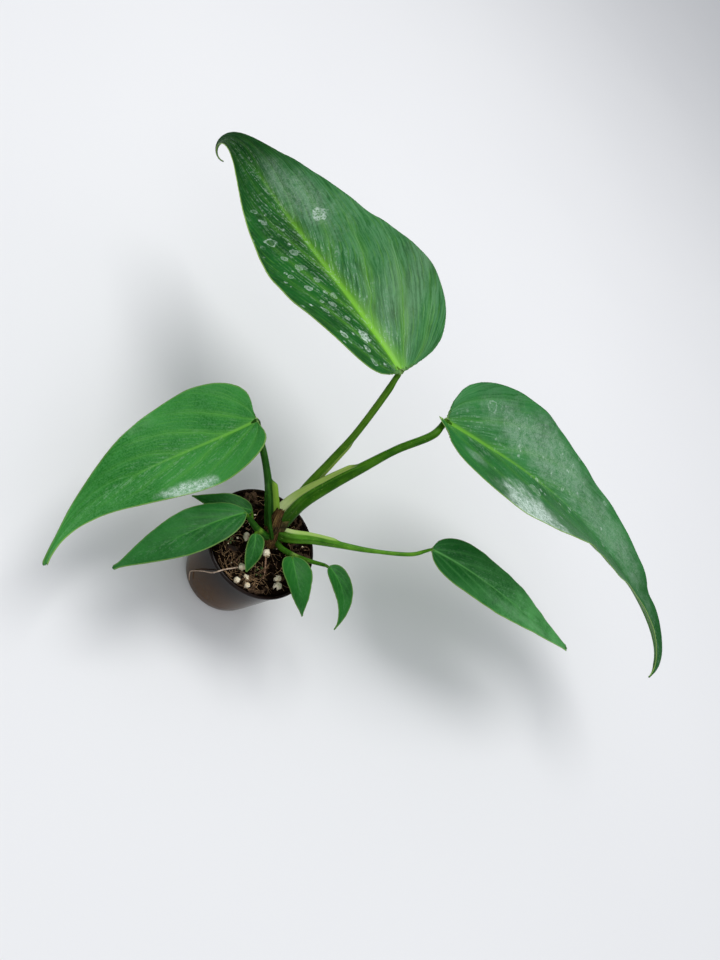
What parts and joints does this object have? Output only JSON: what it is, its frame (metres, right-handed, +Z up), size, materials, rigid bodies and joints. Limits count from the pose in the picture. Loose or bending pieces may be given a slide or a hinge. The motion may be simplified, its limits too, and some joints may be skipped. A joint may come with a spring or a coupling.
{
  "type": "potted flame monstera",
  "caption": "Young potted aroid with large undivided drip-tipped leaves on long sheathed stalks, small leaves on side shoots, and a small round nursery pot of soil.",
  "frame": {"origin": "centre of the pot's flat underside", "axes": "+Z up along the pot's axis, -Y towards the side from which the picture looks down on the plant, +X to its right, with the largest leaf reaching towards +X"},
  "size_m": [0.4385, 0.3071, 0.1563],
  "materials": {
    "pot": "gloss",
    "soil": "matte",
    "stem": "satin",
    "dry_sheath": "matte",
    "stalk": "satin",
    "leaf": "satin"
  },
  "bodies": {
    "root": {"pot": "pot", "soil": "soil", "stem": "stem", "dry_sheath": "dry_sheath", "petiole_right": "stalk", "petiole_left": "stalk", "petiole_top": "stalk", "petiole_low_right": "stalk", "shoot_left": "stalk", "shoot_right": "stalk", "leaf_right": "leaf", "leaf_left": "leaf", "leaf_top": "leaf", "leaf_low_right": "leaf", "leaf_low_left": "leaf", "leaf_behind": "leaf", "leaf_middle": "leaf", "leaf_shoot_near": "leaf", "leaf_shoot_far": "leaf"}
  },
  "joints": []
}
